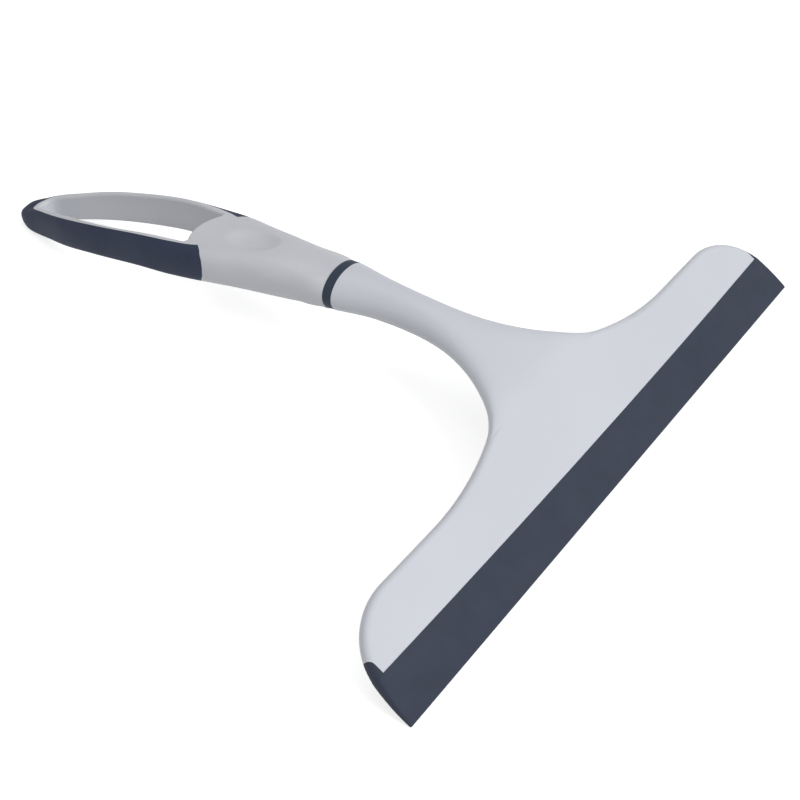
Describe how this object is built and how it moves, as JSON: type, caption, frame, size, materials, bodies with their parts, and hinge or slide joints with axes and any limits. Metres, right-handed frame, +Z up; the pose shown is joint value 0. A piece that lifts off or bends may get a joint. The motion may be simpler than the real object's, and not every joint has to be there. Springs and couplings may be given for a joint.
{
  "type": "shower squeegee",
  "caption": "Shower squeegee with a wide T-shaped head, a soft rubber wiping blade, a bent oval neck and a tapering handle that ends in a hanging loop with a soft grip band.",
  "frame": {"origin": "middle of the box's bottom face, on the table that the squeegee rests on", "axes": "+X along the blade, +Y from the blade's lip back to the hanging loop, +Z up from the table"},
  "size_m": [0.247, 0.2622, 0.0358],
  "materials": {
    "body_plastic": "satin",
    "handle_plastic": "satin",
    "blade_rubber": "matte",
    "ring_rubber": "matte",
    "grip_rubber": "matte"
  },
  "bodies": {
    "squeegee": {"head": "body_plastic", "blade_root": "blade_rubber", "neck_ring": "ring_rubber", "handle": "handle_plastic", "loop_grip": "grip_rubber"},
    "lip": {"blade_lip": "blade_rubber"}
  },
  "joints": [
    {"name": "lip_flex", "type": "hinge", "parent": "squeegee", "child": "lip", "pos_m": [0, -0.12489, 0.00422], "axis": [1, 0, 0], "range_deg": [-25, 25], "stiffness_Nm_per_rad": 0.4}
  ]
}
